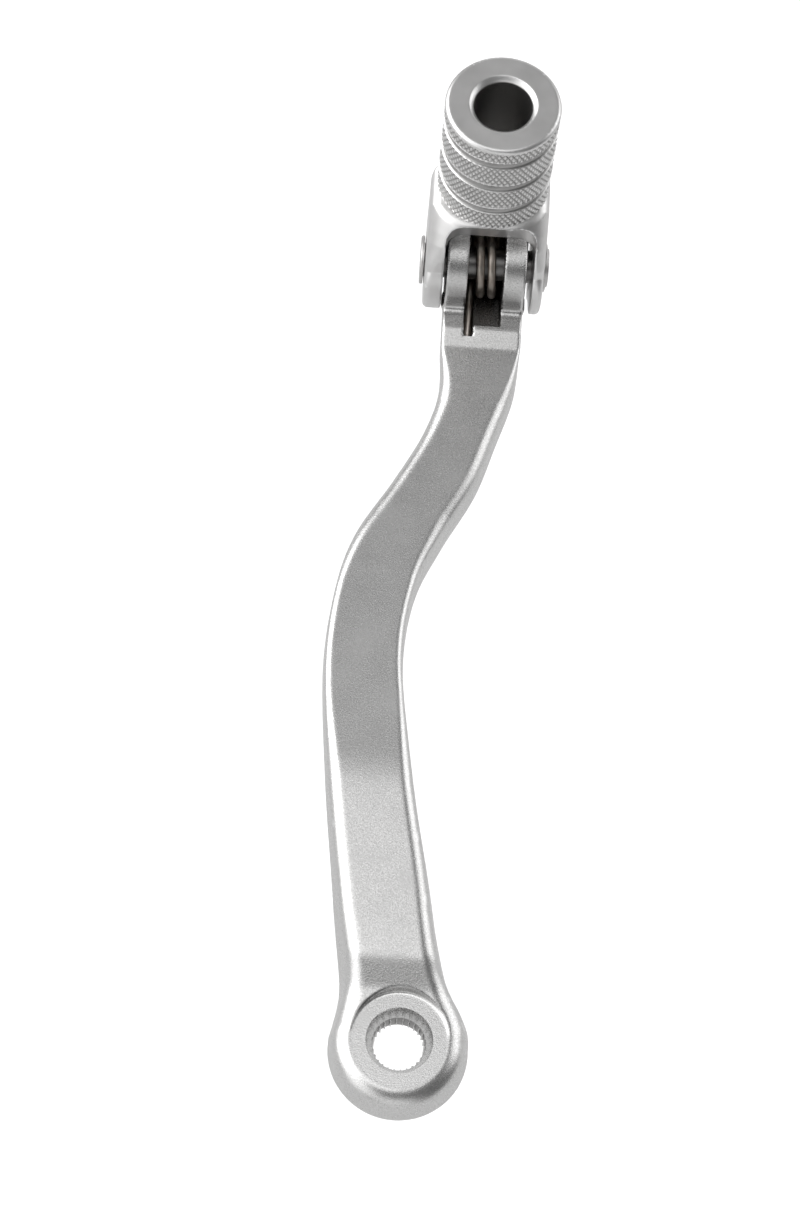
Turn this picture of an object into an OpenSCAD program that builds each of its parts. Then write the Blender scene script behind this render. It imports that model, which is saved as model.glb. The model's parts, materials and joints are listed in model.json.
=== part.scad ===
// Folding gear shift lever.
// Frame: Z is the shift shaft axis, pointing outboard; Y runs from the hub to the toe tip;
// X lies along the tip's hinge pin. The origin is on the shaft axis at the hub's back face.

/* [Hub] */
// Radius of the hub at its back face
hub_r = 13; // [12:0.1:14]
// Radius of the hub at its outboard face
hub_top_r = 11.6; // [10.5:0.1:11.9]
// Height of the spot face above the back face
hub_h = 8; // [7:0.1:8.5]
// Radius of the milled seat for the screw's washer
seat_r = 9.1; // [8.5:0.1:9.5]
// Number of serrations in the bore
tooth_count = 26; // [20:1:30]
// Radius at the roots of the serrations
root_r = 5; // [4.8:0.05:5.2]
// Radius at the tips of the serrations
tip_r = 4.55; // [4.3:0.05:4.6]
// Rim radius of the conical lead-in on the outboard side
lead_r = 6.2; // [5.8:0.1:6.8]
// Depth of the conical lead-in
lead_depth = 2.3; // [1:0.1:3]
// Radius of the plain relief on the back side
relief_r = 5.3; // [5.2:0.05:5.6]
// Depth of the plain relief
relief_depth = 1.5; // [1:0.1:2]

/* [Arm] */
// Distance from the shaft axis to the hinge pin along Y
pin_y = 159.2; // [157:0.1:162]
// Offset of the hinge centre along X
pin_x = 8.64; // [8:0.01:9.2]
// Height of the hinge pin above the hub's back face
pin_z = 20; // [19.5:0.1:20.5]
// Height of the flat outboard surface of the arm
arm_top = 16; // [15.5:0.1:16.5]
// Thickness of the arm's straight run
arm_t = 10; // [8:0.5:11]
// Height of the fork's outboard land
fork_top = 17.1; // [16.8:0.1:17.4]

/* [Fork] */
// Half of the width over the two ears
ear_half = 8; // [7.9:0.1:8.2]
// Radius of the ears about the pin
ear_r = 9.1; // [8.8:0.05:9.15]
// Width of the spring slot between the ears
slot_w = 7.3; // [6.8:0.1:8]
// Radius of the spring pocket about the pin
pocket_r = 7.6; // [7.3:0.1:7.8]
// Distance from the pin to the slot's end
slot_reach = 12.6; // [12:0.1:13.5]
// Width of the notch that holds the spring's leg
notch_w = 2.2; // [2.1:0.05:2.3]

/* [Toe tip] */
// Radius of the knurled peg
peg_r = 11.15; // [10.5:0.05:11.3]
// Distance from the hinge pin to the peg's axis along Y
peg_y = 8.6; // [8:0.1:9]
// Distance from the hinge pin to the peg's end face
peg_end = 43.4; // [40:0.1:50]
// Radius of the hole in the peg
hole_r = 5.6; // [5:0.1:6]
// Depth of the hole in the peg
hole_depth = 27; // [15:1:28]
// Number of grooves that divide the knurl
groove_count = 3; // [1:1:3]
// Distance from one groove to the next
groove_pitch = 7.7; // [7:0.1:8]
// Half of the width over the clevis cheeks
clevis_half = 12; // [11.9:0.05:12.05]
// Half of the gap between the cheeks
gap_half = 8.7; // [8.6:0.05:8.8]
// Radius of the cheeks about the pin
cheek_r = 9.5; // [9:0.1:10]
// Height of the clevis web's underside above the pin
web_z = 9.25; // [9.25:0.05:9.4]
// Height of the shoulder where the peg begins, above the pin
shoulder_z = 17.4; // [17.4:0.1:18]
// Radius of the turned block under the shoulder
block_r = 12.1; // [12.1:0.05:12.3]

/* [Pin] */
// Radius of the pin's shank
shank_r = 3.3; // [3:0.05:3.5]
// Radial clearance of the shank in the ears
pin_clearance = 0.05; // [0.03:0.01:0.1]
// Radius of the pin's head
head_r = 4.85; // [4.5:0.05:5]
// Thickness of the pin's head
head_t = 0.85; // [0.7:0.05:1.2]
// Thickness of the washer under the peened end
washer_t = 0.6; // [0.4:0.05:0.8]

/* [Spring] */
// Diameter of the spring wire
wire_d = 1.6; // [1.5:0.05:1.6]
// Mean radius of the spring's coils
coil_r = 6.1; // [5.8:0.05:6.3]
// Distance from one coil to the next
coil_pitch = 2.2; // [2.1:0.05:2.2]

/* [Hidden] */
$fn = 96;
over = 1;              // how far a cutter runs past the surface it opens
aluminium = "#c9c9c8";
bright_aluminium = "#bdbdbe";
pin_steel = "#9a9896";
spring_steel = "#7d736c";

// Arm outline seen along Z: [y, left x, right x] from the hub to the fork
STATIONS = [
    [12, -11.7, 8.6],
    [30, -14.2, 4.2],
    [50, -16.8, 0],
    [72, -18.6, -3.15],
    [88, -17.4, -1.7],
    [100, -14.1, 3.1],
    [112, -7.5, 9.2],
    [123, -2.1, 12.8],
    [133, 0.7, 15.8],
    [142, pin_x - ear_half + 0.1, pin_x + ear_half - 0.1]
];
STEPS = 5;             // straight pieces between two stations

fork_y = 142;          // where the ramp up to the fork's land begins
ramp = 3.5;            // length of that ramp
blade_end = pin_y - 10;
hub_rim = hub_h + 0.2; // the milled seat is sunk a little below the hub's rim
hub_foot = 0.6;        // the blade leaves the hub this far above its back face

// Arm seen along X: [y, z] along the outboard and the inboard surfaces
OUTBOARD = [
    [0, hub_rim], [8.5, 8.6], [11, 9.7], [15, 11.6], [30, 13.8], [50, 15.5], [60, arm_top],
    [fork_y, arm_top], [blade_end, arm_top]
];
INBOARD = [
    [blade_end, 10], [136, arm_top - arm_t + 2], [122, arm_top - arm_t],
    [60, arm_top - arm_t], [40, 3.8], [14, hub_foot], [0, hub_foot]
];

land_z = fork_top - pin_z;           // heights relative to the pin: the fork's land,
flat_z = arm_top - pin_z;            // the arm's flat surface,
fork_foot = -8.6;                    // the underside of the ears' root
fork_keel = -11;                     // and of the thick part in front of it
root_y = -2;                         // the fork's solid root ends this far from the pin
stop_y = 6;                          // the ears' square corner reaches this far past the pin
stop_z = web_z - 0.05;               // its flat top, just under the clevis web
stop_foot = -3.6;                    // where that corner starts inside the round ear
slot_floor = -6.3;                   // floor of the spring slot in front of the pocket
shell_y = -1;                        // the pocket is open above its shell from here on
past = 12;                           // a cut that runs out of the part reaches this much further
cavity_r = 11.3;                     // clearance for that corner inside the clevis
cavity_foot = -20;                   // the cavity's cutter starts below and in front of the part
recess_y = 0.7;                      // face of the web, set back so that the arm fits in as the tip folds
recess_top = 16.9;                   // top of the recess in front of the web
recess_half = 8.95;                   // half of the recess's width
gap_x = 0.35;                        // the gap's middle, to the right of the block's middle
recess_edge = 4;                     // corner radius of the recess
block_x = -0.4;                      // the clevis and its block sit a little to the left of the peg
back_y = peg_y + block_r + 1;        // past the back of the turned block
back_z = 9;                          // height where the block's back meets its sloping underside
ledge_z = 7.3;                       // where the turned block runs out onto the cheeks
cheek_y = -5;                        // front of the block's blank above the cheeks
cheek_front_a = 137;                 // where the cheeks' round end stops, as an angle about the pin
peg_len = peg_end - shoulder_z;
groove_depth = 0.5;
groove_w = 1.9;
first_groove = 4.8;                  // from the end face to the first groove's centre
rim_edge = 0.9;                      // edge break round the end face
hole_edge = 0.9;                     // chamfer at the mouth of the hole
button_r = 3.9;                      // peened end
button_t = 0.35;
leg_x = -2.45;                       // the arm-side leg runs along the slot's left wall
leg_a = -100;                        // angle round the pin where it leaves the coils
leg_end = -14.9;                     // its end in the notch, relative to the pin
notch_z = -4.5;                      // floor of the notch at its closed end, relative to the pin
notch_foot = -5.3;                   // its floor inside the slot, relative to the pin
shell_z = 2.9;                       // top of the closed shell behind the coils, relative to the pin
notch_end = -15.6;                   // closed end of the notch
notch_start = -11;                   // where the notch begins inside the slot
tip_leg_z = 8.9;                     // the tip-side leg ends high on the clevis's back wall
bead_gap = 0.15;                     // wires stop this short of a bend, inside its bead

// One coordinate of a smooth curve through four neighbouring stations, at t from 0 to 1
function smooth(a, b, c, d, t) =
    0.5 * (2 * b + (c - a) * t + (2 * a - 5 * b + 4 * c - d) * t * t
    + (3 * b - a - 3 * c + d) * t * t * t);

function station(i) = STATIONS[max(0, min(len(STATIONS) - 1, i))];

// Points along one side of the arm; side 1 is the left edge and side 2 the right edge
function edge(side) = [
    for (i = [0 : len(STATIONS) - 2], k = [0 : STEPS - 1])
        let (t = k / STEPS, a = station(i - 1), b = station(i), c = station(i + 1), d = station(i + 2))
        [smooth(a[side], b[side], c[side], d[side], t), smooth(a[0], b[0], c[0], d[0], t)]
];

function reversed(list) = [for (i = [len(list) - 1 : -1 : 0]) list[i]];

// Moves a child drawn about the hinge centre to its place
module at_pin() {
    translate([pin_x, pin_y, pin_z]) children();
}

// A cylinder along X, centred on the hinge
module x_rod(r, x0, x1) {
    translate([x0, 0, 0]) rotate([0, 90, 0]) cylinder(r = r, h = x1 - x0);
}

// Extrudes a child drawn as [y, z] along X
module along_x(x0, x1) {
    translate([x0, 0, 0]) rotate([90, 0, 90]) linear_extrude(x1 - x0) children();
}

// The S-shaped blade between the hub and the fork
module blade() {
    intersection() {
        linear_extrude(pin_z) polygon(concat(
            [[-hub_top_r, 0]], edge(1),
            [[pin_x - ear_half + 0.1, blade_end], [pin_x + ear_half - 0.1, blade_end]],
            reversed(edge(2)), [[hub_top_r, 0]]));
        along_x(-30, 30) polygon(concat(OUTBOARD, INBOARD));
    }
}

// Outline of the fork about the pin as [y, z]: round, with a square corner that stops the tip
module fork_outline() {
    circle(r = ear_r);
    translate([0, stop_foot]) square([stop_y, stop_z - stop_foot]);
    polygon([
        [root_y, fork_foot], [root_y, land_z], [fork_y + ramp - pin_y, land_z],
        [fork_y - pin_y, flat_z - 0.05], [fork_y - pin_y, fork_keel]
    ]);
}

// Outline of the spring pocket: round about the pin, open outboard and towards the hub
module pocket_outline() {
    circle(r = pocket_r);
    translate([-slot_reach, slot_floor]) square([slot_reach, ear_r + past]);
    translate([shell_y, shell_z]) square([past, past]);
}

// Notch for the spring's leg, seen along X about the pin; it carries on from the slot's end
module notch_outline() {
    polygon([
        [notch_start, notch_foot], [notch_end, notch_z], [notch_end, past], [notch_start, past]
    ]);
}

// Turned cuts in the hub: relief at the back, and the conical lead-in in front
module hub_cut() {
    slope = (lead_r - root_r) / lead_depth;
    cone_tip = 4;
    rotate_extrude() polygon([[0, -over], [relief_r, -over], [relief_r, relief_depth], [0, relief_depth]]);
    rotate_extrude() polygon([
        [0, hub_h - (lead_r - cone_tip) / slope], [cone_tip, hub_h - (lead_r - cone_tip) / slope],
        [lead_r, hub_h], [lead_r + slope * 3, hub_h + 3], [0, hub_h + 3]
    ]);
}

module spline_cut() {
    pitch = 360 / tooth_count;
    root_share = 0.36;   // half of a root's angle as a share of the pitch
    tip_share = 0.46;    // where a tooth's flank meets its tip
    linear_extrude(hub_h + 2 * over) polygon([
        for (i = [0 : tooth_count - 1], corner = [[-tip_share, tip_r], [-root_share, root_r],
             [0, root_r], [root_share, root_r], [tip_share, tip_r]])
            let (a = (i + corner[0]) * pitch)
            [corner[1] * sin(a), corner[1] * cos(a)]
    ]);
}

module arm() {
    color(aluminium) difference() {
        union() {
            cylinder(r1 = hub_r, r2 = hub_top_r, h = hub_rim);
            blade();
            at_pin() along_x(-ear_half, ear_half) fork_outline();
        }
        // Seat for the washer, cut level across the foot of the arm
        translate([0, 0, hub_h]) cylinder(r = seat_r, h = 6);
        translate([0, 0, -over]) spline_cut();
        hub_cut();
        at_pin() {
            x_rod(shank_r + pin_clearance, -ear_half - over, ear_half + over);
            along_x(-slot_w / 2, slot_w / 2) pocket_outline();
            // Notch for the spring's leg, sunk into the fork's land
            along_x(leg_x - notch_w / 2, leg_x + notch_w / 2) notch_outline();
        }
    }
}

// Outline of the clevis about the pin, drawn as [y, z]: the cheeks' round end, the sloping back
// and the block under the peg
module clevis_outline() {
    reach = sqrt(back_y * back_y + back_z * back_z);
    slope_a = atan2(back_z, back_y) - acos(cheek_r / reach);
    arc_steps = 40;
    polygon(concat(
        [for (i = [0 : arc_steps])
            let (a = slope_a - (slope_a + 360 - cheek_front_a) * i / arc_steps)
            [cheek_r * cos(a), cheek_r * sin(a)]],
        [[cheek_y, sqrt(cheek_r * cheek_r - cheek_y * cheek_y)], [cheek_y, shoulder_z],
         [back_y, shoulder_z], [back_y, back_z]]
    ));
}

// Room for the ears, and for their stop corners as the tip folds, drawn as [y, z]
module cavity_outline() {
    intersection() {
        union() {
            circle(r = cavity_r);
            translate([cavity_foot, cavity_foot]) square([-cavity_foot, 2 * past - cavity_foot]);
        }
        translate([2 * cavity_foot, web_z + 2 * cavity_foot]) square([-4 * cavity_foot, -2 * cavity_foot]);
    }
}

// A rectangle from x = -half to half and y = foot to top, with its two top corners rounded
function arched(half, foot, top, r) = concat(
    [[-half, foot], [half, foot]],
    [for (a = [0 : 15 : 90]) [half - r + r * cos(a), top - r + r * sin(a)]],
    [for (a = [90 : 15 : 180]) [r - half + r * cos(a), top - r + r * sin(a)]]
);

// Room in front of the web for the arm's land as the tip folds, with rounded inner corners
module recess() {
    intersection() {
        translate([0, 0, cavity_foot]) linear_extrude(past - 2 * cavity_foot)
            polygon(arched(recess_half, cavity_foot, recess_y, recess_edge));
        rotate([90, 0, 0]) translate([0, 0, -past]) linear_extrude(past - 2 * cavity_foot)
            polygon(arched(recess_half, 2 * cavity_foot, recess_top, recess_edge));
    }
}

// The turned profile of the peg, [radius, height] from inside the block to the end face
module peg() {
    foot = 2;
    groove_z = [for (i = [groove_count - 1 : -1 : 0]) peg_len - first_groove - i * groove_pitch];
    translate([0, 0, shoulder_z]) rotate_extrude() polygon(concat(
        [[0, -foot], [peg_r, -foot]],
        [for (z = groove_z, corner = [[0, -1], [1, -1], [1, 1], [0, 1]])
            [peg_r - corner[0] * groove_depth, z + corner[1] * groove_w / 2]],
        [[peg_r, peg_len - rim_edge], [peg_r - rim_edge, peg_len], [0, peg_len]]
    ));
}

// The hole in the peg with its chamfered mouth
module peg_hole() {
    rotate_extrude() polygon([
        [0, peg_end - hole_depth], [hole_r, peg_end - hole_depth], [hole_r, peg_end - hole_edge],
        [hole_r + hole_edge + over, peg_end + over], [0, peg_end + over]
    ]);
}

module toe_tip() {
    blank = 40;
    color(bright_aluminium) at_pin() difference() {
        union() {
            intersection() {
                along_x(block_x - clevis_half, block_x + clevis_half) clevis_outline();
                union() {
                    // Turned round the peg's axis, but left square on the cheeks below the ledge
                    translate([block_x, peg_y, -blank / 2]) cylinder(r = block_r, h = blank);
                    translate([-blank / 2, peg_y - blank, ledge_z - blank]) cube(blank);
                }
            }
            translate([0, peg_y, 0]) peg();
        }
        along_x(gap_x - gap_half, gap_x + gap_half) cavity_outline();
        translate([gap_x, 0, 0]) recess();
        x_rod(shank_r, block_x - clevis_half - over, block_x + clevis_half + over);
        translate([0, peg_y, 0]) peg_hole();
    }
}

module pivot_pin() {
    color(pin_steel) at_pin() translate([block_x, 0, 0]) {
        x_rod(shank_r, -clevis_half, clevis_half + washer_t);
        x_rod(head_r, -clevis_half - head_t, -clevis_half);
        x_rod(button_r, clevis_half + washer_t, clevis_half + washer_t + button_t);
    }
}

module pin_washer() {
    color(pin_steel) at_pin() translate([block_x, 0, 0]) difference() {
        x_rod(head_r, clevis_half, clevis_half + washer_t);
        x_rod(shank_r, clevis_half - over, clevis_half + washer_t + over);
    }
}

// A straight round wire from point a to point b, its ends held back inside the bend beads
module wire(a, b) {
    d = b - a;
    length = norm(d);
    translate(a) rotate([0, acos(d[2] / length), atan2(d[1], d[0])])
        translate([0, 0, bead_gap]) cylinder(d = wire_d, h = length - 2 * bead_gap);
}

// Part of one coil at height x along the pin, from angle a0 to a1, turning from +Y to +Z
module coil(x, a0, a1) {
    held_back = bead_gap / coil_r * 180 / PI;
    translate([x, 0, 0]) rotate([90, 0, 90]) rotate([0, 0, a0 + held_back])
        rotate_extrude(angle = a1 - a0 - 2 * held_back)
            translate([coil_r, 0]) circle(d = wire_d);
}

// A bead that joins two lengths of wire at a bend
module bend(p) {
    translate(p) sphere(d = wire_d * 1.12);
}

function on_coil(x, a) = [x, coil_r * cos(a), coil_r * sin(a)];

// A torsion spring: its leg in the arm's notch, its coils round the pin, and its leg against the tip
module return_spring() {
    lanes = [-coil_pitch / 2, coil_pitch / 2, coil_pitch * 1.25];
    turns = [leg_a, leg_a + 343, leg_a + 682, 720];
    leg_start = on_coil(leg_x, leg_a);
    leg_tip = [leg_x, leg_end, leg_start[2] - (leg_start[1] - leg_end) / tan(-leg_a)];
    tip_leg_end = [lanes[2], coil_r, tip_leg_z];
    color(spring_steel) at_pin() {
        wire(leg_tip, leg_start);
        bend(leg_start);
        wire(leg_start, on_coil(lanes[0], leg_a));
        for (i = [0 : len(lanes) - 1]) {
            bend(on_coil(lanes[i], turns[i]));
            coil(lanes[i], turns[i], turns[i + 1]);
            bend(on_coil(lanes[i], turns[i + 1]));
        }
        for (i = [1 : len(lanes) - 1])
            wire(on_coil(lanes[i - 1], turns[i]), on_coil(lanes[i], turns[i]));
        wire(on_coil(lanes[2], 720), tip_leg_end);
    }
}

arm();
toe_tip();
pivot_pin();
pin_washer();
return_spring();
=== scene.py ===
"""Folding gear shift lever: the visual model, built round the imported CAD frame."""

import json
import math

import bpy
import numpy as np
from mathutils import Matrix, Vector


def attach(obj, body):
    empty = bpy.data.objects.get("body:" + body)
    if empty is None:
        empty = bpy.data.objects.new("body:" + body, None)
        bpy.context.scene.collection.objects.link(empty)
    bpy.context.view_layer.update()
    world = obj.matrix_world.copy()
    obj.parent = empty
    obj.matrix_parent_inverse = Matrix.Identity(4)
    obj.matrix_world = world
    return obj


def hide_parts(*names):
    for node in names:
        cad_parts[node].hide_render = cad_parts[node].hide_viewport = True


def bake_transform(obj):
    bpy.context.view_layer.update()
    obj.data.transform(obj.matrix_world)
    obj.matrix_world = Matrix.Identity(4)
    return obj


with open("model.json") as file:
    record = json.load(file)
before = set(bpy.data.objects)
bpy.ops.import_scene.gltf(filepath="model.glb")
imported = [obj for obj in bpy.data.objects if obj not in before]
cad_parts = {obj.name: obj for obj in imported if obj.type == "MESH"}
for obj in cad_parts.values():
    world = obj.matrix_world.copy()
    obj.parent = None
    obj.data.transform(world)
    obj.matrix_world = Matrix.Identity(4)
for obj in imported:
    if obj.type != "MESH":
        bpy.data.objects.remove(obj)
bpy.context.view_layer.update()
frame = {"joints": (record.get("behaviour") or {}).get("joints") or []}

# ---------------------------------------------------------------- dimensions, in millimetres
MM = 0.001
PIN = np.array(frame["joints"][0]["pos_m"]) / MM
PIN_X, PIN_Y, PIN_Z = PIN

HUB_R = 13.0
HUB_H = 8.0
SEAT_R = 9.1
TEETH = 26
ROOT_R = 5.0
TIP_R = 4.55
LEAD_R = 6.2
LEAD_DEPTH = 2.3
RELIEF_R = 5.3
RELIEF_DEPTH = 1.5
LEAD_SLOPE = (LEAD_R - ROOT_R) / LEAD_DEPTH

ARM_TOP = 16.0
ARM_T = 10.0
FORK_Y = 142.0
FORK_TOP = 17.1
EAR_HALF = 8.0
EAR_R = 9.1
STOP_Y = 6.0
STOP_Z = 9.2
SLOT_W = 7.2
SLOT_X = 0.0
POCKET_R = 7.6
SLOT_REACH = 12.6
SLOT_FLOOR = -6.3
LEG_X = -2.7
FORK_FILLET = 1.5
EAR_EDGE = 0.45
SEAT_WALL_SLOPE = 0.5
PIN_PLAY = 0.05
LEG_PLAY = 0.06

PEG_R = 11.15
PEG_Y = 8.6
PEG_END = 43.4
HOLE_R = 5.6
HOLE_DEPTH = 27.0
SHOULDER_Z = 17.4
BLOCK_BACK = 12.0
BLOCK_END = 12.0
BLOCK_X = -0.4
BLOCK_CORNER = 2.5
CLEVIS_HALF = 12.0
GAP_HALF = 8.7
GAP_X = 0.35
CHEEK_R = 9.5
CHEEK_TOP_A = 137
WEB_Z = 9.25
CAVITY_R = 11.3
BACK_Z = 9.0
RECESS_Y = 0.7
RECESS_TOP = 16.9
RECESS_HALF = 8.95
RECESS_EDGE = 4.0
GROOVES = 3
GROOVE_PITCH = 7.7
FIRST_GROOVE = 4.8
GROOVE_W = 1.9
GROOVE_DEPTH = 0.5
POLISHED_R = PEG_R - 0.12
PEG_RIM = 0.9
HOLE_LIP = 0.9

SHANK_R = 3.3
HEAD_R = 4.85
HEAD_T = 0.85
WASHER_T = 0.6
BUTTON_R = 3.9
BUTTON_T = 0.35
WIRE_R = 0.87
COIL_R = 6.1
LEG_A = math.radians(-103)
LEG_END = -14.9
SPRING_X = -2.65, 2.55
TIP_LEG = 8.6
WIRE_EDGE = 0.14

# Arm outline seen along Z: y, left x, right x
STATIONS = np.array([
    [-3, -12.5, 12.5],
    [1, -12.97, 13.0],
    [4, -12.4, 12.75],
    [7, -11.8, 11.6],
    [9.6, -11.5, 10.05],
    [12.1, -11.6, 8.7],
    [14.7, -11.95, 7.7],
    [22, -13.1, 5.8],
    [30, -14.2, 4.2],
    [50, -16.8, 0.0],
    [72, -18.6, -3.15],
    [88, -17.4, -1.7],
    [100, -14.1, 3.1],
    [112, -7.5, 9.2],
    [123, -2.1, 12.8],
    [133, 0.7, 15.8],
    [142, PIN_X - EAR_HALF, PIN_X + EAR_HALF],
])
# Arm seen along X: y, height of the outboard surface
OUTBOARD = np.array([
    [-14, 8.1], [0, 8.15], [6, 8.4], [9, 9.0], [15, 11.7], [20, 12.5], [40, 14.95], [49, ARM_TOP],
    [FORK_Y, ARM_TOP], [FORK_Y + 3.5, FORK_TOP], [170, FORK_TOP],
])
# y, height of the inboard surface
INBOARD = np.array([
    [-14, 0], [9, 0], [40, 3.8], [60, ARM_TOP - ARM_T], [118, ARM_TOP - ARM_T],
    [136, 8.4], [148, 10.7], [170, 10.9],
])
# Rows of y, then of the value there: edge fillets, side draft, and the parting line's share of the height
OUTER_EDGE = [6, 22, 48, 66, 88, 104, 130, 141], [3.3, 2.5, 2.4, 1.3, 1.4, 2.9, 2.5, 0.6]
INNER_EDGE = [5, 25, 135, 145], [0.5, 2.0, 2.0, 0.6]
DRAFT = [8, 35, 60, 105, 134, 143], [0.18, 0.12, 0.06, 0.06, 0.1, 0.0]
PARTING = [8, 35], [0.11, 0.36]


# ---------------------------------------------------------------- distance fields
def round_and(a, b, r):
    """Intersection of two fields, with its edge rounded to radius r."""
    u = np.maximum(a + r, 0)
    v = np.maximum(b + r, 0)
    return np.minimum(np.maximum(a, b), -r) + np.hypot(u, v)


def round_or(a, b, r):
    """Union of two fields, with a fillet of radius r between them."""
    return -round_and(-a, -b, r)


def cut(a, b, r=0.25):
    """Field a with b taken away, leaving an edge of radius r."""
    return round_and(a, -b, r)


def box_field(u, v, lo, hi):
    """Distance to a rectangle with corners lo and hi in the plane of u and v."""
    du = np.abs(u - (lo[0] + hi[0]) / 2) - (hi[0] - lo[0]) / 2
    dv = np.abs(v - (lo[1] + hi[1]) / 2) - (hi[1] - lo[1]) / 2
    return np.minimum(np.maximum(du, dv), 0) + np.hypot(np.maximum(du, 0), np.maximum(dv, 0))


def polygon_field(u, v, points):
    """Signed distance to a closed polygon, negative inside."""
    shape = np.shape(u)
    u = np.ravel(u).astype(np.float64)
    v = np.ravel(v).astype(np.float64)
    best = np.full(u.shape, 1e9)
    inside = np.zeros(u.shape, bool)
    for (x0, y0), (x1, y1) in zip(points, np.roll(points, -1, axis=0)):
        ex, ey = x1 - x0, y1 - y0
        length = ex * ex + ey * ey
        if length == 0:
            continue
        t = np.clip(((u - x0) * ex + (v - y0) * ey) / length, 0, 1)
        best = np.minimum(best, (u - x0 - t * ex) ** 2 + (v - y0 - t * ey) ** 2)
        if y0 != y1:
            crosses = (y0 > v) != (y1 > v)
            inside ^= crosses & (u < x0 + (v - y0) / ey * ex)
    return np.where(inside, -1, 1).reshape(shape) * np.sqrt(best).reshape(shape)


def catmull(points, steps):
    """A smooth curve through rows of points."""
    p = np.vstack([points[:1], points, points[-1:]])
    rows = []
    for i in range(1, len(p) - 2):
        a, b, c, d = p[i - 1 : i + 3]
        for t in np.arange(steps) / steps:
            rows.append(0.5 * (2 * b + (c - a) * t + (2 * a - 5 * b + 4 * c - d) * t**2
                               + (3 * b - a - 3 * c + d) * t**3))
    rows.append(points[-1])
    return np.array(rows)


def softened(table, width):
    """The broken line through table as a function, with its corners rounded over width(y)."""
    ys = np.arange(-30, 200, 0.25)
    line = np.interp(ys, table[:, 0], table[:, 1])
    soft = np.zeros_like(line)
    offsets = np.linspace(-1, 1, 21)
    weights = np.cos(offsets * math.pi / 2) ** 2
    for offset, weight in zip(offsets, weights):
        soft += weight * np.interp(ys + offset * width(ys), ys, line)
    soft /= weights.sum()
    slope = np.gradient(soft, ys)
    return lambda y: (np.interp(y, ys, soft), np.interp(y, ys, slope))


class Grid:
    """Turns a distance field into a mesh: one vertex in each cell the surface passes through."""

    CORNERS = [(i, j, k) for i in (0, 1) for j in (0, 1) for k in (0, 1)]

    def __init__(self, field, xs, ys, zs):
        self.field = field
        self.axes = xs, ys, zs
        values = np.empty((len(xs), len(ys), len(zs)), np.float32)
        step = 24
        for i in range(0, len(xs), step):
            grid = np.meshgrid(xs[i : i + step], ys, zs, indexing="ij")
            values[i : i + step] = field(*grid)
        self.values = values

    def mesh(self, name, polish=2):
        v = self.values
        inside = v < 0
        count = np.zeros(tuple(n - 1 for n in v.shape), np.int8)
        for i, j, k in self.CORNERS:
            count += inside[i : i + count.shape[0], j : j + count.shape[1], k : k + count.shape[2]]
        active = (count > 0) & (count < 8)
        cells = np.argwhere(active)
        ids = np.full(active.shape, -1, np.int64)
        ids[active] = np.arange(len(cells))
        points = self.place(cells)
        for _ in range(polish):
            points = self.project(points)
        return make_mesh(name, points, self.quads(inside, ids))

    def place(self, cells):
        """The mean of the points where the surface crosses each cell's edges."""
        corner = {c: self.values[tuple((cells + c).T)] for c in self.CORNERS}
        at = {
            c: np.stack([self.axes[n][cells[:, n] + c[n]] for n in range(3)], axis=1)
            for c in self.CORNERS
        }
        total = np.zeros((len(cells), 3))
        hits = np.zeros(len(cells))
        for a in self.CORNERS:
            for n in range(3):
                if a[n]:
                    continue
                b = tuple(1 if m == n else a[m] for m in range(3))
                fa, fb = corner[a].astype(float), corner[b].astype(float)
                crossed = (fa < 0) != (fb < 0)
                t = np.where(crossed, fa / np.where(crossed, fa - fb, 1), 0)[:, None]
                total += np.where(crossed[:, None], at[a] + t * (at[b] - at[a]), 0)
                hits += crossed
        return total / hits[:, None]

    def project(self, p, eps=0.02):
        """Moves points onto the surface along the field's gradient."""
        f = self.field(*p.T)
        grad = np.stack([
            (self.field(*(p + d).T) - self.field(*(p - d).T)) / (2 * eps) for d in np.eye(3) * eps
        ], axis=1)
        size = np.maximum((grad**2).sum(1), 0.25)
        move = -(f / size)[:, None] * grad
        length = np.maximum(np.linalg.norm(move, axis=1), 1e-9)
        return p + move * np.minimum(1, 0.15 / length)[:, None]

    @staticmethod
    def quads(inside, ids):
        out = []
        for n in range(3):
            m, o = (n + 1) % 3, (n + 2) % 3
            a = np.take(inside, range(inside.shape[n] - 1), axis=n)
            b = np.take(inside, range(1, inside.shape[n]), axis=n)
            where = np.argwhere(a != b)
            where = where[(where[:, m] > 0) & (where[:, o] > 0)]
            shape = np.array(ids.shape)
            where = where[(where[:, m] < shape[m]) & (where[:, o] < shape[o])]
            quad = []
            for dm, do in ((0, 0), (-1, 0), (-1, -1), (0, -1)):
                at = where.copy()
                at[:, m] += dm
                at[:, o] += do
                quad.append(ids[tuple(at.T)])
            quad = np.stack(quad, axis=1)
            leaving = a[tuple(where.T)]
            quad[~leaving] = quad[~leaving][:, ::-1]
            out.append(quad)
        return np.vstack(out)


def make_mesh(name, points, faces):
    """A mesh object in metres from points in millimetres."""
    mesh = bpy.data.meshes.new(name)
    mesh.from_pydata((np.asarray(points) * MM).tolist(), [], [list(map(int, f)) for f in faces])
    mesh.validate()
    mesh.update()
    obj = bpy.data.objects.new(name, mesh)
    bpy.context.scene.collection.objects.link(obj)
    return obj


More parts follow.
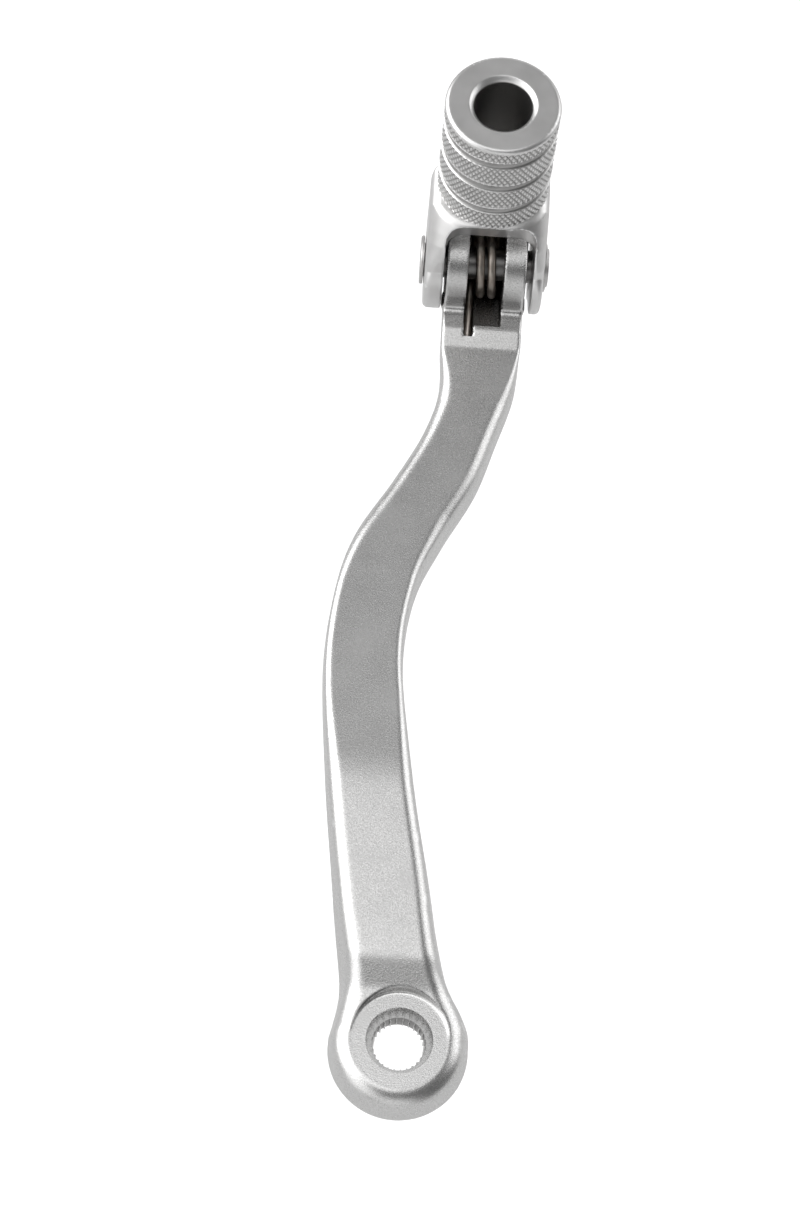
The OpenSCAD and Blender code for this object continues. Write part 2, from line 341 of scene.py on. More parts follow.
def lathe(name, profile, segments):
    """Turns a profile of (radius, height) rows round Z; rows on the axis become poles."""
    points, faces, rings = [], [], []
    for r, z in profile:
        if r < 1e-6:
            rings.append([len(points)] * segments)
            points.append((0, 0, z))
            continue
        rings.append(list(range(len(points), len(points) + segments)))
        for i in range(segments):
            a = 2 * math.pi * i / segments
            points.append((r * math.cos(a), r * math.sin(a), z))
    for lower, upper in zip(rings, rings[1:]):
        for i in range(segments):
            j = (i + 1) % segments
            face = [lower[i], lower[j], upper[j], upper[i]]
            face = [f for n, f in enumerate(face) if f != face[n - 1]]
            if len(face) > 2:
                faces.append(face)
    return make_mesh(name, points, faces)


def arc(cx, cz, r, a0, a1, steps):
    """Points of an arc in a profile, angles in degrees."""
    angles = np.radians(np.linspace(a0, a1, steps + 1))
    return [(cx + r * math.cos(a), cz + r * math.sin(a)) for a in angles]


def boolean(obj, other, operation):
    """Applies a boolean with another object, which is then removed."""
    modifier = obj.modifiers.new("cut", "BOOLEAN")
    modifier.operation = operation
    modifier.solver = "MANIFOLD"
    modifier.object = other
    dg = bpy.context.evaluated_depsgraph_get()
    result = bpy.data.meshes.new_from_object(obj.evaluated_get(dg))
    obj.modifiers.clear()
    if len(result.polygons) < len(obj.data.polygons) * 0.5:
        print("BOOLEAN", operation, "failed on", obj.name, len(result.polygons))
    old = obj.data
    obj.data = result
    obj.data.name = obj.name
    bpy.data.meshes.remove(old)
    bpy.data.objects.remove(other)


def smooth(obj, degrees=40):
    obj.data.shade_smooth()
    obj.data.set_sharp_from_angle(angle=math.radians(degrees))


# ---------------------------------------------------------------- arm
def arm_outline():
    curve = catmull(STATIONS, 12)
    left = np.stack([curve[:, 1], curve[:, 0]], axis=1)
    right = np.stack([curve[:, 2], curve[:, 0]], axis=1)[::-1]
    tail = PIN_Y - 6
    return np.vstack([
        left, [[PIN_X - EAR_HALF, tail], [PIN_X + EAR_HALF, tail]], right,
    ])


ARM_OUTLINE = arm_outline()
outboard = softened(OUTBOARD, lambda y: np.interp(y, [20, 40, 110, 130], [2.0, 6.0, 6.0, 0.8]))
inboard = softened(INBOARD, lambda y: np.interp(y, [10, 30, 130, 150], [3.0, 8.0, 8.0, 3.0]))


def arm_field(x, y, z):
    plan = plan_field(x, y)
    top, top_slope = outboard(y)
    low, low_slope = inboard(y)
    parting = low + np.interp(y, *PARTING) * (top - low)
    draft = np.interp(y, *DRAFT)
    wall = (plan + draft * np.abs(z - parting)) / np.sqrt(1 + draft**2)
    over = (z - top) / np.sqrt(1 + top_slope**2)
    under = (low - z) / np.sqrt(1 + low_slope**2)
    blade = round_and(wall, over, np.interp(y, *OUTER_EDGE))
    blade = round_and(blade, under, np.interp(y, *INNER_EDGE))
    # The fork's ears
    px, py, pz = x - PIN_X, y - PIN_Y, z - PIN_Z
    disc = np.hypot(py, pz)
    ears = np.minimum(disc - EAR_R, box_field(py, pz, (0, -4), (STOP_Y, STOP_Z)))
    ears = round_and(ears, np.abs(px) - EAR_HALF, EAR_EDGE)
    body = round_or(blade, ears, FORK_FILLET)
    # Milled and drilled features
    pocket = np.minimum(disc - POCKET_R, box_field(py, pz, (-SLOT_REACH, SLOT_FLOOR), (0.5, 20)))
    pocket = np.minimum(pocket, box_field(py, pz, (-1, 2.9), (14, 20)))
    pocket = round_and(pocket, np.abs(px - SLOT_X) - SLOT_W / 2, 0.3)
    above_leg = pz - leg_height(py)
    notch = np.hypot(px - LEG_X, np.minimum(above_leg, 0)) - WIRE_R - LEG_PLAY
    notch = np.maximum(notch, np.abs(py - (LEG_END - 0.1) / 2) + LEG_END / 2)
    body = cut(body, np.minimum(pocket, notch), 0.3)
    body = cut(body, disc - SHANK_R - PIN_PLAY, 0.2)
    radius = np.hypot(x, y)
    seat_wall = (radius - SEAT_R - SEAT_WALL_SLOPE * (z - HUB_H)) / math.hypot(1, SEAT_WALL_SLOPE)
    seat = round_and(HUB_H - z, seat_wall, 0.25)
    return cut(body, seat, 0.2)


def leg_height(y):
    """Height of the spring's leg above the pin: tangent to the coils where it leaves them."""
    return COIL_R * math.sin(LEG_A) - (COIL_R * math.cos(LEG_A) - y) / math.tan(LEG_A)


def plan_field(x, y):
    """The plan outline's field for a block of grid points, worked out once for each column."""
    if x.ndim > 1:
        return plan_field(x[:, :, 0].ravel(), y[:, :, 0].ravel()).reshape(x.shape[:2])[:, :, None]
    return np.minimum(polygon_field(x, y, ARM_OUTLINE), np.hypot(x, y) - HUB_R)


def spline_cutter():
    """A closed cutter for the hub's bore: relief, serrations and conical lead-in."""
    pitch = 2 * math.pi / TEETH
    # One serration: share of the pitch from its middle, and the radius there
    tooth = [(share, ROOT_R) for share in (-0.37, -0.18, 0, 0.18, 0.37)]
    tooth = [(-0.47, TIP_R), *tooth, (0.47, TIP_R)]
    corners = [((i + share) * pitch, r) for i in range(TEETH) for share, r in tooth]
    segments = len(corners)

    def ring(radius_of, z):
        return [(radius_of(r) * math.sin(a), radius_of(r) * math.cos(a), z) for a, r in corners]

    z_root = HUB_H - LEAD_DEPTH
    rings = [
        ring(lambda r: RELIEF_R + 1.2, -1.0),
        ring(lambda r: RELIEF_R, 0.2),
        ring(lambda r: RELIEF_R, RELIEF_DEPTH),
        ring(lambda r: r, RELIEF_DEPTH + 0.25),
        # Where the cone of the lead-in meets each serration
        [(r * math.sin(a), r * math.cos(a), z_root - (ROOT_R - r) / LEAD_SLOPE) for a, r in corners],
        ring(lambda r: LEAD_R, HUB_H),
        ring(lambda r: LEAD_R + 0.3, HUB_H + 0.2),
        ring(lambda r: LEAD_R + 0.3, HUB_H + 3),
    ]
    points = [p for r in rings for p in r]
    faces = []
    for n in range(len(rings) - 1):
        for i in range(segments):
            j = (i + 1) % segments
            a, b = n * segments, (n + 1) * segments
            faces.append([a + j, a + i, b + i, b + j])
    faces.append(list(range(segments)))
    faces.append([(len(rings) - 1) * segments + i for i in reversed(range(segments))])
    return make_mesh("spline_cutter", points, faces)


def spaced(stops, steps):
    """Grid lines from stop to stop, with a step for each stretch."""
    lines = [stops[0]]
    for a, b, step in zip(stops, stops[1:], steps):
        n = max(1, round((b - a) / step))
        lines += list(a + (b - a) * (np.arange(n) + 1) / n)
    return np.array(lines)


def build_arm():
    fine = 0.3
    xs = spaced([-20.5, 19.0], [fine * 1.15])
    ys = spaced([-14.5, 18, 134, PIN_Y + 10.5], [fine, fine * 2, fine])
    zs = spaced([-0.9, PIN_Z + 10.5], [fine])
    arm = Grid(arm_field, xs, ys, zs).mesh("arm_forging")
    boolean(arm, spline_cutter(), "DIFFERENCE")
    smooth(arm, 35)
    return arm


# ---------------------------------------------------------------- toe tip
def clevis_outline():
    back_y = PEG_Y + BLOCK_BACK
    reach = math.hypot(back_y, BACK_Z)
    start = math.degrees(math.atan2(BACK_Z, back_y) - math.acos(CHEEK_R / reach))
    points = arc(0, 0, CHEEK_R, start, CHEEK_TOP_A - 360, 60)
    # The front edge leans back from the cheeks to the shoulder
    points += [(-6.1, 9.5), (-5.2, 12.5), (-4, 15), (-2.6, SHOULDER_Z)]
    above = SHOULDER_Z + 4
    points += [(-0.2, above), (back_y, above), (back_y, BACK_Z)]
    return np.array(points)


CLEVIS_OUTLINE = clevis_outline()


def clevis_field(x, y, z):
    """The clevis block, with its coordinates about the pin."""
    if x.ndim == 1:
        side = polygon_field(y, z, CLEVIS_OUTLINE)
    else:
        side = polygon_field(y[0], z[0], CLEVIS_OUTLINE)[None]
    corner = np.interp(z, [4, 8, SHOULDER_Z], [1.3, 2.2, 9.0])
    sides = np.abs(x - BLOCK_X) - CLEVIS_HALF
    bar = np.hypot(x, y - PEG_Y) - PEG_R - 0.1
    body = round_and(side, sides, corner)
    body = round_and(body, np.minimum(round_and(sides, y - BLOCK_END, BLOCK_CORNER), bar), 0.4)
    body = round_and(body, z - SHOULDER_Z, 1.0)
    cavity = np.minimum(np.hypot(y, z) - CAVITY_R, box_field(y, z, (-20, -20), (0, 20)))
    window = round_and(cavity, z - WEB_Z, 0.4)
    window = round_and(window, np.abs(x - GAP_X) - GAP_HALF, 0.3)
    recess = round_and(np.abs(x - GAP_X) - RECESS_HALF, y - RECESS_Y, RECESS_EDGE)
    recess = round_and(recess, z - RECESS_TOP, RECESS_EDGE)
    window = np.minimum(window, recess)
    body = cut(body, window, 0.35)
    return cut(body, np.hypot(y, z) - SHANK_R, 0.1)


FOOT = 0.4   # the peg's lower end is sunk this far into the block


def knurl_height(a, z, pitch=1.15, depth=0.34):
    """Height of a diamond knurl at angle a and height z: low in the crossing grooves."""
    count = round(2 * math.pi * PEG_R / pitch)
    turn = math.tan(math.radians(32)) / (2 * math.pi * PEG_R / count)
    u = a / (2 * math.pi) * count
    left = np.abs((u + z * turn) % 1 * 2 - 1)
    right = np.abs((u - z * turn) % 1 * 2 - 1)
    groove = np.minimum(1, 1.35 * np.minimum(1 - left, 1 - right))
    return -depth * (1 - groove)


def peg_mesh():
    """The peg: knurled bands between polished grooves, the end face and its blind hole."""
    length = PEG_END - SHOULDER_Z
    step = 0.13
    segments = round(2 * math.pi * PEG_R / step)
    segments = 4 * round(segments / 4)
    angles = np.arange(segments) * 2 * math.pi / segments
    rings, knurled = [], []

    def add(r, z, knurl=0.0):
        rings.append((r, z))
        knurled.append(knurl)

    add(0, -FOOT)
    add(PEG_R - 0.45, -FOOT)
    groove_z = [length - FIRST_GROOVE - i * GROOVE_PITCH for i in range(GROOVES)]
    half = GROOVE_W / 2
    ease = 0.35
    for z in np.arange(-FOOT, length - PEG_RIM + 1e-9, step):
        off = min(abs(z - groove) for groove in groove_z)
        if off < half:
            depth = GROOVE_DEPTH * math.sqrt(1 - (off / half) ** 2) ** 0.8
            add(POLISHED_R - depth, z)
        else:
            fade = min(1.0, (off - half) / ease, (length - PEG_RIM - z) / ease, (z + 0.1) / 0.2)
            add(PEG_R, z, max(0.0, fade))
    for r, z in arc(PEG_R - PEG_RIM, length - PEG_RIM, PEG_RIM, 0, 90, 10):
        add(r, z)
    # The end is faced a hair hollow between its two edges
    lip = HOLE_R + HOLE_LIP
    outer = PEG_R - PEG_RIM
    for share in np.linspace(0, 1, 12)[1:]:
        add(outer + (lip + 0.1 - outer) * share, length - 0.02 * math.sin(math.pi * share))
    add(lip, length - 0.03)
    add(HOLE_R + 0.08, length - 0.85)
    add(HOLE_R, length - 1.0)
    for z in np.linspace(length - 2, length - HOLE_DEPTH + 0.5, 14):
        add(HOLE_R, z)
    for r, z in arc(HOLE_R - 0.5, length - HOLE_DEPTH + 0.5, 0.5, 0, -90, 4):
        add(r, z)
    add(0, length - HOLE_DEPTH - 2.8)
    rows = np.array(rings)
    height = knurl_height(angles[None, :], rows[:, 1][:, None]) * np.array(knurled)[:, None]
    radius = rows[:, 0][:, None] + height
    return rows, radius, angles


def build_peg():
    rows, radius, angles = peg_mesh()
    segments = len(angles)
    points, faces, rings = [], [], []
    for (r, z), ring in zip(rows, radius):
        if r == 0:
            rings.append(np.full(segments, len(points)))
            points.append([0, 0, z])
            continue
        rings.append(np.arange(segments) + len(points))
        points += np.stack([ring * np.cos(angles), ring * np.sin(angles), np.full(segments, z)], 1).tolist()
    nxt = np.roll(np.arange(segments), -1)
    for low, up in zip(rings, rings[1:]):
        if low[0] == low[1]:
            faces += np.stack([low, up[nxt], up], 1).tolist()
        elif up[0] == up[1]:
            faces += np.stack([low, low[nxt], up], 1).tolist()
        else:
            faces += np.stack([low, low[nxt], up[nxt], up], 1).tolist()
    points = np.array(points) + PIN + [0, PEG_Y, SHOULDER_Z]
    return make_mesh("peg", points, faces)


def build_tip():
    fine = 0.26
    xs = spaced([BLOCK_X - CLEVIS_HALF - 1, BLOCK_X + CLEVIS_HALF + 1], [fine])
    ys = spaced([-CHEEK_R - 1, PEG_Y + BLOCK_BACK + 1], [fine])
    zs = spaced([-CHEEK_R - 1, SHOULDER_Z + 1], [fine])
    tip = Grid(clevis_field, xs, ys, zs).mesh("toe_tip_machined")
    tip.data.transform(matrix_of(PIN))
    boolean(tip, build_peg(), "UNION")
    smooth(tip, 38)
    return tip


def matrix_of(offset_mm):
    return Matrix.Translation(Vector(offset_mm) * MM)


# ---------------------------------------------------------------- pin, washer and spring
def turned_on_pin(name, profile, segments=96):
    """A turned piece with its profile's heights along +X from the hinge centre."""
    obj = lathe(name, profile, segments)
    obj.data.transform(Matrix.Rotation(math.pi / 2, 4, "Y"))
    obj.data.transform(matrix_of(PIN))
    smooth(obj, 30)
    return obj


def build_pin():
    left = BLOCK_X - CLEVIS_HALF
    right = BLOCK_X + CLEVIS_HALF + WASHER_T
    edge, back_edge, peen_edge = 0.28, 0.12, 0.3
    shank = SHANK_R - 0.02
    button = right + BUTTON_T
    profile = [(0, left - HEAD_T), (HEAD_R - 0.5, left - HEAD_T)]
    profile += arc(HEAD_R - edge, left - HEAD_T + edge, edge, -90, 0, 5)
    profile += arc(HEAD_R - back_edge, left - 0.27, back_edge, 0, 90, 3)
    profile += [(HEAD_R - 0.7, left - back_edge), (SHANK_R + 0.25, left - back_edge), (shank, left)]
    profile += [(shank, z) for z in np.linspace(left + 1, right - 0.3, 20)]
    profile += [(SHANK_R, right), (BUTTON_R - 0.1, right + 0.01)]
    profile += arc(BUTTON_R - peen_edge, right + 0.15, peen_edge, -20, 80, 5)
    profile += [(BUTTON_R - 1.2, button + 0.1), (1.2, button), (0.6, button - 0.25), (0, button - 0.35)]
    return turned_on_pin("pivot_pin_steel", profile)


def build_washer():
    lo, hi = BLOCK_X + CLEVIS_HALF + 0.01, BLOCK_X + CLEVIS_HALF + WASHER_T
    inner = SHANK_R + 0.06
    edge = 0.15
    profile = [(inner, lo), (HEAD_R - edge, lo)]
    profile += arc(HEAD_R - edge, lo + edge, edge, -90, 0, 3)
    profile += arc(HEAD_R - edge, hi - edge, edge, 0, 90, 3)
    profile += [(inner, hi), (inner, lo)]
    return turned_on_pin("peen_washer", profile)


def spring_path():
    """Points along the wire: arm leg, coils round the pin, and the leg against the tip."""
    points = []
    start, end = LEG_A, math.radians(720)
    x_first, x_last = SPRING_X
    leg_end = np.array([LEG_X, LEG_END, leg_height(LEG_END)])
    leave = np.array([x_first, COIL_R * math.cos(start), COIL_R * math.sin(start)])
    for t in np.linspace(0, 1, 40):
        p = leave + (leg_end - leave) * (1 - t)
        bend = min(1, max(0, (t - 0.45) / 0.55))
        p[0] = LEG_X + (x_first - LEG_X) * (1 - math.cos(math.pi * bend)) / 2
        points.append(p)
    for a in np.linspace(start, end, 260)[1:]:
        share = (a - start) / (end - start)
        x = x_first + (x_last - x_first) * share
        points.append(np.array([x, COIL_R * math.cos(a), COIL_R * math.sin(a)]))
    for z in np.linspace(0, TIP_LEG, 14)[1:]:
        points.append(np.array([x_last, COIL_R, z]))
    return np.array(points)


def build_spring():
    path = spring_path()
    sides = 20
    tangent = np.gradient(path, axis=0)
    tangent /= np.linalg.norm(tangent, axis=1)[:, None]
    side = np.array([1.0, 0, 0])
    points, faces = [], []
    rings = []
    for n, (p, t) in enumerate(zip(path, tangent)):
        side = side - t * (side @ t)
        side /= np.linalg.norm(side)
        up = np.cross(t, side)
        stack = [(p, WIRE_R)]
        if n == 0:
            stack = [(p - t * 0.01, WIRE_R - WIRE_EDGE), (p + t * 0.12, WIRE_R)]
        if n == len(path) - 1:
            stack = [(p - t * 0.12, WIRE_R), (p + t * 0.01, WIRE_R - WIRE_EDGE)]
        for centre, r in stack:
            rings.append(len(points))
            for i in range(sides):
                a = 2 * math.pi * i / sides
                points.append(centre + r * (math.cos(a) * side + math.sin(a) * up))
    for a, b in zip(rings, rings[1:]):
        for i in range(sides):
            j = (i + 1) % sides
            faces.append([a + i, a + j, b + j, b + i])
    faces.append([rings[0] + i for i in reversed(range(sides))])
    faces.append([rings[-1] + i for i in range(sides)])
    obj = make_mesh("return_spring_wire", np.array(points) + PIN, faces)
    smooth(obj, 40)
    return obj


# ---------------------------------------------------------------- materials
class Nodes:
    """Small helper for building node trees."""

    def __init__(self, owner, shader="Principled BSDF"):
        self.material = owner
        owner.use_nodes = True
        self.tree = owner.node_tree
        self.shader = self.tree.nodes[shader]
        self.coords = self.add("ShaderNodeTexCoord").outputs
        self.where = self.coords["Object"]

    def link(self, value, socket):
        if isinstance(value, bpy.types.NodeSocket):
            self.tree.links.new(value, socket)
        else:
            socket.default_value = value

    def add(self, kind, inputs=(), **settings):
        node = self.tree.nodes.new(kind)
        for key, value in settings.items():
            setattr(node, key, value)
        for key, value in dict(inputs).items():
            self.link(value, node.inputs[key])
        return node

    def noise(self, size_mm, detail=2.0, roughness=0.5):
        return self.add("ShaderNodeTexNoise", {
            "Vector": self.where, "Scale": 1 / (size_mm * MM), "Detail": detail, "Roughness": roughness,
        }).outputs["Fac"]

    def ramp(self, value, lo, hi, to_lo, to_hi, kind="LINEAR"):
        return self.add("ShaderNodeMapRange", {
            "Value": value, "From Min": lo, "From Max": hi, "To Min": to_lo, "To Max": to_hi,
        }, interpolation_type=kind).outputs["Result"]

    def fade(self, value, lo_mm, hi_mm, to_lo=0, to_hi=1):
        """A ramp between two places given in millimetres."""
        return self.ramp(value, lo_mm * MM, hi_mm * MM, to_lo, to_hi)

    def axes(self):
        return self.add("ShaderNodeSeparateXYZ", {0: self.where}).outputs

    def radius(self, a, b, centre_a=0.0, centre_b=0.0):
        """Distance in the plane of a and b from a point given in millimetres."""
        off_a = self.math("SUBTRACT", a, centre_a * MM)
        off_b = self.math("SUBTRACT", b, centre_b * MM)
        return self.math("SQRT", self.math("ADD", self.math("MULTIPLY", off_a, off_a),
                                           self.math("MULTIPLY", off_b, off_b)))

    def math(self, operation, a, b=0.0):
        return self.add("ShaderNodeMath", {0: a, 1: b}, operation=operation).outputs[0]

    def mix(self, share, a, b):
        return self.add("ShaderNodeMix", {"Factor": share, 6: a, 7: b}, data_type="RGBA").outputs[2]

    def bump(self, height, distance_mm, strength=1.0):
        return self.add("ShaderNodeBump", {
            "Height": height, "Distance": distance_mm * MM, "Strength": strength,
        }).outputs["Normal"]

    def set(self, **values):
        for key, value in values.items():
            self.link(value, self.shader.inputs[key.replace("_", " ")])


def grey(value, warm=0.0):
    return (value + warm, value, value - warm, 1)


def forged_aluminium():
    n = Nodes(bpy.data.materials.new("forged_aluminium"))
    grain = n.noise(0.28, 3, 0.65)
    fine = n.noise(0.13, 1)
    patches = n.noise(9, 3)
    geometry = n.add("ShaderNodeNewGeometry")
    # Painted highlight: edges picked out by their pointiness are painted lighter
    edges = n.ramp(geometry.outputs["Pointiness"], 0.5, 0.56, 0, 1)
    base = n.mix(n.ramp(grain, 0.38, 0.66, 0, 1), grey(0.56, 0.004), grey(0.76, 0.003))
    base = n.mix(n.ramp(patches, 0.35, 0.7, 0, 0.25), base, grey(0.6, 0.003))
    base = n.mix(n.math("MULTIPLY", edges, 0.5), base, grey(0.92))
    x, y, z = n.axes()
    # The milled fork is a little duller than the forged blade
    base = n.mix(n.fade(y, FORK_Y - 0.2, FORK_Y + 0.4, 0, 0.3), base, grey(0.3, 0.003))
    # Painted shade: the bottom of the spring's slot is painted darker with depth
    slot_end = PIN_Y - SLOT_REACH
    slot_shade = n.math("MULTIPLY", n.fade(z, PIN_Z - 1, PIN_Z - 4.5, 0, 0.8),
                  n.fade(y, slot_end - 0.2, slot_end + 0.3))
    side = n.math("ABSOLUTE", n.math("SUBTRACT", x, (PIN_X + SLOT_X) * MM))
    slot_shade = n.math("MULTIPLY", slot_shade, n.fade(side, SLOT_W / 2 + 0.25, SLOT_W / 2 - 0.02))
    base = n.mix(slot_shade, base, grey(0.1, 0.003))
    # The bore: painted shade on the lead-in and, deeper down, between the serrations
    radius = n.radius(x, y)
    root_shade = n.fade(radius, TIP_R + 0.1, ROOT_R - 0.05, 0.1, 0.85)
    lead_end = HUB_H - LEAD_DEPTH
    deep = n.fade(z, lead_end + 0.15, lead_end - 0.25)
    lead = n.math("MULTIPLY", n.fade(radius, LEAD_R + 0.06, LEAD_R - 0.1, 0, 0.25),
                  n.fade(z, HUB_H, HUB_H - 0.12))
    near = n.fade(radius, LEAD_R + 0.1, LEAD_R)
    bore = n.math("MAXIMUM", lead, n.math("MULTIPLY", near, n.math("MULTIPLY", root_shade, deep)))
    # The milled seat is brighter than the forged skin
    milled = n.math("MULTIPLY", n.fade(radius, SEAT_R + 0.05, SEAT_R - 0.1, 0, 0.75),
                    n.fade(z, HUB_H + 0.05, HUB_H + 0.02))
    base = n.mix(milled, base, grey(0.93, 0.003))
    # Painted shade: the seat's wall is painted dark
    wall = n.math("MULTIPLY", n.fade(radius, SEAT_R + 0.9, SEAT_R + 0.6, 0, 0.6),
                  n.fade(z, HUB_H + 0.1, HUB_H + 0.4))
    base = n.mix(wall, base, grey(0.2, 0.003))
    base = n.mix(bore, base, grey(0.16, 0.004))
    rough = n.ramp(grain, 0.3, 0.7, 0.31, 0.21)
    rough = n.math("ADD", rough, n.ramp(patches, 0.3, 0.7, -0.03, 0.04))
    height = n.math("ADD", grain, n.math("MULTIPLY", fine, 0.5))
    n.set(Base_Color=base, Metallic=1.0, Roughness=rough, Normal=n.bump(height, 0.04, 0.8))
    return n.material


def machined_aluminium():
    n = Nodes(bpy.data.materials.new("machined_aluminium"))
    stretch = n.add("ShaderNodeMapping", {"Vector": n.where, "Scale": (60, 60, 9000)}).outputs[0]
    lines = n.add("ShaderNodeTexNoise", {"Vector": stretch, "Scale": 1.0, "Detail": 2.0}).outputs["Fac"]
    grain = n.noise(0.25, 2)
    patches = n.noise(6, 2)
    geometry = n.add("ShaderNodeNewGeometry")
    # Painted highlight: edges picked out by their pointiness are painted lighter, except on the faced end
    edges = n.ramp(geometry.outputs["Pointiness"], 0.5, 0.57, 0, 1)
    base = n.mix(n.ramp(patches, 0.3, 0.7, 0, 1), grey(0.62, 0.004), grey(0.72, 0.004))
    x, y, z = n.axes()
    radius = n.radius(x, y, PIN_X, PIN_Y + PEG_Y)
    peg_end, shoulder = PIN_Z + PEG_END, PIN_Z + SHOULDER_Z
    faced = n.math("MULTIPLY", n.fade(radius, PEG_R - 0.7, PEG_R - 1),
                   n.fade(z, peg_end - 0.3, peg_end - 0.1))
    edges = n.math("MULTIPLY", edges, n.math("SUBTRACT", 0.6, n.math("MULTIPLY", faced, 0.6)))
    base = n.mix(edges, base, grey(0.95))
    # Painted shade: the peg's blind hole is painted darker inside
    bore = n.math("MULTIPLY", n.fade(radius, HOLE_R + 0.2, HOLE_R + 0.02), n.fade(z, shoulder, shoulder + 1))
    # Painted shade in the valleys of the knurl
    knurl = n.math("MULTIPLY", n.fade(radius, PEG_R - 0.02, PEG_R - 0.3, 0, 0.6),
                   n.fade(radius, PEG_R - 0.8, PEG_R - 0.7))
    knurl = n.math("MULTIPLY", knurl, n.fade(z, shoulder - 0.1, shoulder))
    knurl = n.math("MULTIPLY", knurl, n.fade(z, peg_end - PEG_RIM, peg_end - 1))
    base = n.mix(knurl, base, grey(0.2, 0.004))
    base = n.mix(bore, base, grey(0.42, 0.006))
    rough = n.ramp(grain, 0.3, 0.7, 0.4, 0.33)
    height = n.math("ADD", n.math("MULTIPLY", lines, 0.5), grain)
    n.set(Base_Color=base, Metallic=1.0, Roughness=rough, Normal=n.bump(height, 0.012, 0.6))
    return n.material


def pin_steel():
    n = Nodes(bpy.data.materials.new("pin_steel"))
    grain = n.noise(0.3, 3)
    patches = n.noise(2.5, 2)
    base = n.mix(n.ramp(patches, 0.3, 0.7, 0, 1), grey(0.5, 0.006), grey(0.64, 0.004))
    x, y, z = n.axes()
    radius = n.radius(y, z, PIN_Y, PIN_Z)
    inside = n.math("ABSOLUTE", n.math("SUBTRACT", x, (PIN_X + BLOCK_X) * MM))
    # Painted shade: the shank between the clevis cheeks is painted dark
    shank = n.math("MULTIPLY", n.fade(radius, SHANK_R + 0.25, SHANK_R + 0.1, 0, 0.75),
                   n.fade(inside, CLEVIS_HALF + 0.1, CLEVIS_HALF - 0.3))
    base = n.mix(shank, base, grey(0.08, 0.003))
    n.set(Base_Color=base, Metallic=1.0, Roughness=n.ramp(grain, 0.3, 0.7, 0.42, 0.28),
          Normal=n.bump(grain, 0.02, 0.5))
    return n.material


def spring_steel():
    n = Nodes(bpy.data.materials.new("spring_steel"))
    grain = n.noise(0.35, 3)
    patches = n.noise(2.0, 3)
    base = n.mix(n.ramp(patches, 0.35, 0.7, 0, 1), (0.26, 0.225, 0.195, 1), (0.4, 0.365, 0.33, 1))
    # Painted light: the leg is painted brighter towards its end
    leg_light = n.fade(n.axes()["Y"], PIN_Y - 7, PIN_Y - 12, 0, 0.9)
    base = n.mix(leg_light, base, (0.88, 0.8, 0.74, 1))
    n.set(Base_Color=base, Metallic=1.0, Roughness=n.ramp(grain, 0.3, 0.7, 0.45, 0.3),
          Normal=n.bump(grain, 0.02, 0.6))
    return n.material


def paint(obj, material):
    obj.data.materials.clear()
    obj.data.materials.append(material)


# ---------------------------------------------------------------- pieces on their bodies
def place(obj, body, nodes, material):
    paint(obj, material)
    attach(obj, body)
    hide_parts(*nodes)


place(build_arm(), "lever", ["arm"], forged_aluminium())
place(build_tip(), "tip", ["toe_tip"], machined_aluminium())
steel = pin_steel()
place(build_pin(), "tip", ["pivot_pin"], steel)
place(build_washer(), "tip", ["pin_washer"], steel)

spring = build_spring()
paint(spring, spring_steel())
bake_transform(spring)
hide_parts("return_spring")


# ---------------------------------------------------------------- studio
AMBIENT = 0.16
# Overhead panels: degrees from the zenith towards -Y and +Y, radiance
PANELS = [(-27, 15, 1.08), (15, 48, 0.2)]
# Direction, inner and outer half angle in degrees, radiance
LOBES = [
    ((-1, 0.35, 0.6), 14, 40, 3.2),
    ((-1, -0.7, 0.5), 12, 35, 1.2),
    ((1, 0.5, 0.45), 12, 34, 1.5),
    ((0.1, 1, 0.25), 10, 35, 0.5),
    ((0, -1, 0.1), 15, 35, 0.7),
]
FLOOR_HALF = 2.5
FLOOR_Z = -0.22
LENS = 85.63
CAMERA_PLACE = (-0.01507, -0.15123, 0.51573)
CAMERA_TURN = (0.4381, -0.0453, 0.0519)


def stage_material():
    n = Nodes(bpy.data.materials.new("studio_floor"))
    seen = n.add("ShaderNodeLightPath").outputs["Is Camera Ray"]
    n.set(Base_Color=n.mix(seen, grey(0.68), grey(0.93)), Roughness=0.9,
          Emission_Color=grey(1), Emission_Strength=n.math("MULTIPLY", seen, 0.2))
    n.shader.inputs["Specular IOR Level"].default_value = 0.0
    return n.material


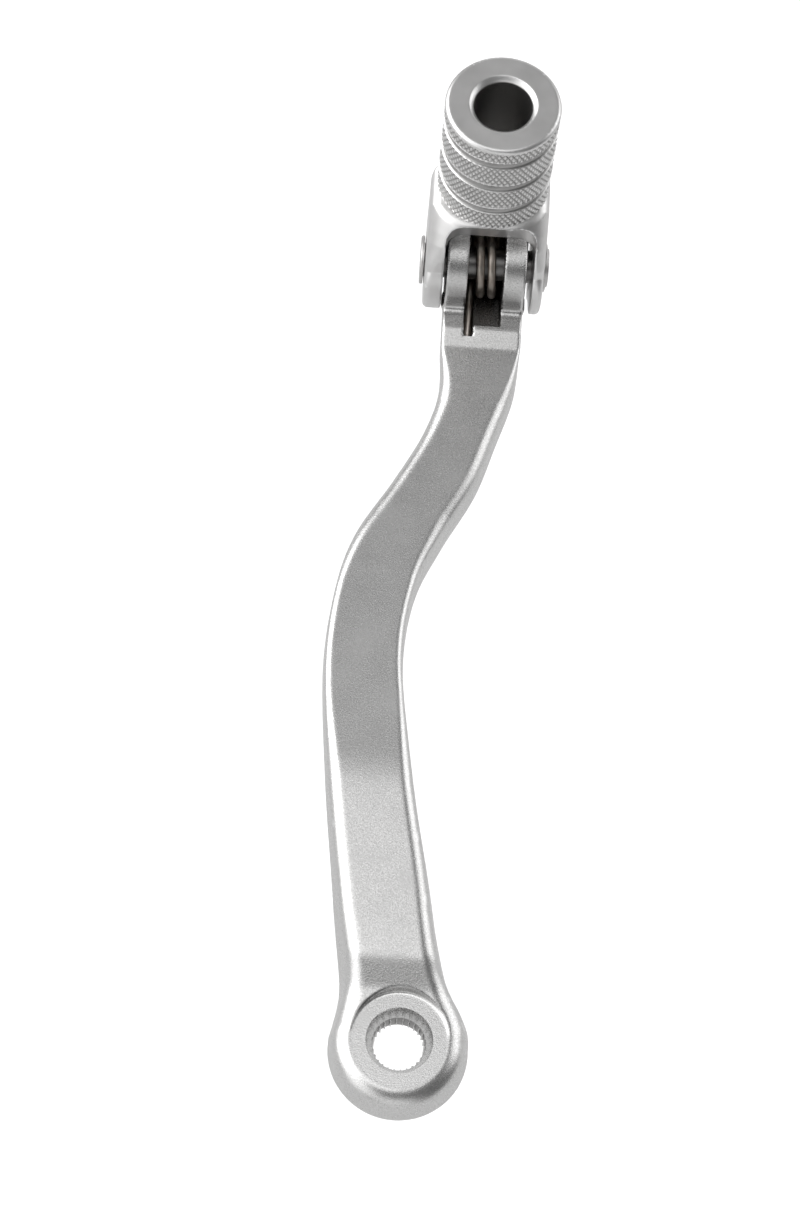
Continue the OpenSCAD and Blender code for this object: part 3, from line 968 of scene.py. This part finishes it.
def build_floor():
    mesh = bpy.data.meshes.new("floor")
    corners = [(-1, -1), (1, -1), (1, 1), (-1, 1)]
    mesh.from_pydata([(x * FLOOR_HALF, y * FLOOR_HALF, FLOOR_Z) for x, y in corners], [], [(0, 1, 2, 3)])
    floor = bpy.data.objects.new("floor", mesh)
    bpy.context.scene.collection.objects.link(floor)
    paint(floor, stage_material())


def build_studio():
    """Soft studio light as a plain environment: an overhead softbox, a key on the left, a weak fill."""
    world = bpy.data.worlds.new("studio")
    bpy.context.scene.world = world
    n = Nodes(world, "Background")
    x, y, z = n.add("ShaderNodeSeparateXYZ", {0: n.coords["Generated"]}).outputs
    across = n.math("MULTIPLY", n.math("ARCTAN2", x, z), 180 / math.pi)
    along = n.math("MULTIPLY", n.math("ARCTAN2", y, z), 180 / math.pi)

    def window(angle, lo, hi, soft):
        up = n.ramp(angle, lo - soft, lo + soft, 0, 1, "SMOOTHSTEP")
        down = n.ramp(angle, hi - soft, hi + soft, 1, 0, "SMOOTHSTEP")
        return n.math("MULTIPLY", up, down)

    def lobe(direction, inner, outer, radiance):
        unit = Vector(direction).normalized()
        dot = n.add("ShaderNodeVectorMath", {0: n.coords["Generated"], 1: unit}, operation="DOT_PRODUCT")
        lo, hi = math.cos(math.radians(outer)), math.cos(math.radians(inner))
        return n.ramp(dot.outputs["Value"], lo, hi, 0, radiance, "SMOOTHSTEP")

    sides = window(across, -60, 14, 6)
    light = AMBIENT
    for lo, hi, radiance in PANELS:
        panel = n.math("MULTIPLY", window(along, lo, hi, 2), sides)
        light = n.math("ADD", light, n.math("MULTIPLY", panel, radiance))
    for row in LOBES:
        light = n.math("ADD", light, lobe(*row))
    # The camera itself sees a plain white backdrop
    seen = n.add("ShaderNodeLightPath").outputs["Is Camera Ray"]
    light = n.math("MAXIMUM", light, n.math("MULTIPLY", seen, 1.0))
    n.set(Color=(1, 1, 1, 1), Strength=light)


def build_camera():
    data = bpy.data.cameras.new("camera")
    data.lens = LENS
    data.sensor_width = 36
    camera = bpy.data.objects.new("camera", data)
    camera.location = CAMERA_PLACE
    camera.rotation_euler = CAMERA_TURN
    data.clip_start = 0.01
    bpy.context.scene.collection.objects.link(camera)
    bpy.context.scene.camera = camera


build_floor()
build_studio()
bpy.context.scene.view_settings.view_transform = "Standard"
build_camera()
